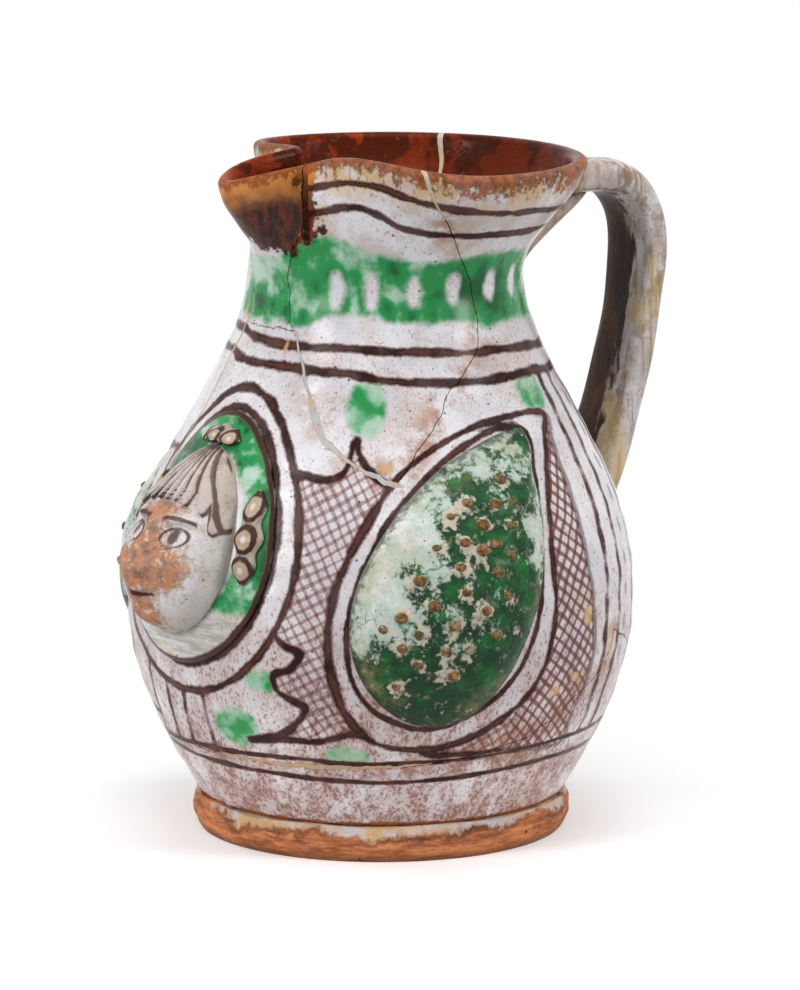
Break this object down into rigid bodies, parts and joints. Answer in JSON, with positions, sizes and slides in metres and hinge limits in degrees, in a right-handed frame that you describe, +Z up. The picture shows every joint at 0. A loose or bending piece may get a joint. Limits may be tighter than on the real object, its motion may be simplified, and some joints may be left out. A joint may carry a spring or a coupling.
{
  "type": "maiolica jug",
  "caption": "Pear-shaped maiolica jug with pinched spout, strap handle, relief head and pine cones, mended from sherds with plaster fills; holds and pours liquid.",
  "frame": {"origin": "centre of the foot's flat underside, where the jug stands", "axes": "+Z up along the jug's axis, -Y toward the spout and the relief head, +Y toward the handle, +X toward the right-hand pine cone"},
  "size_m": [0.1997, 0.2363, 0.246],
  "materials": {
    "white_glaze": "worn glossy tin glaze with painted lines",
    "green_glaze": "glossy copper-green glaze over a relief",
    "brown_glaze": "glaze painted with manganese brown",
    "bare_clay": "unglazed fired earthenware",
    "filler": "matt toned plaster fill"
  },
  "bodies": {
    "root": {"foot_disc": "bare_clay", "base_sherd": "white_glaze", "belly_sherd": "white_glaze", "back_sherd": "white_glaze", "neck_sherd": "white_glaze", "spout_sherd": "white_glaze", "left_filler": "filler", "front_filler": "filler", "rim_filler": "filler", "back_filler": "filler", "base_filler": "filler", "handle_strap": "white_glaze", "handle_stub": "white_glaze", "handle_root_wad": "white_glaze", "handle_foot_pad": "white_glaze", "head_plaque": "green_glaze", "head_relief": "white_glaze", "forelock": "brown_glaze", "plait_right": "brown_glaze", "plait_left": "brown_glaze", "cone_right": "green_glaze", "cone_left": "green_glaze"}
  },
  "joints": []
}
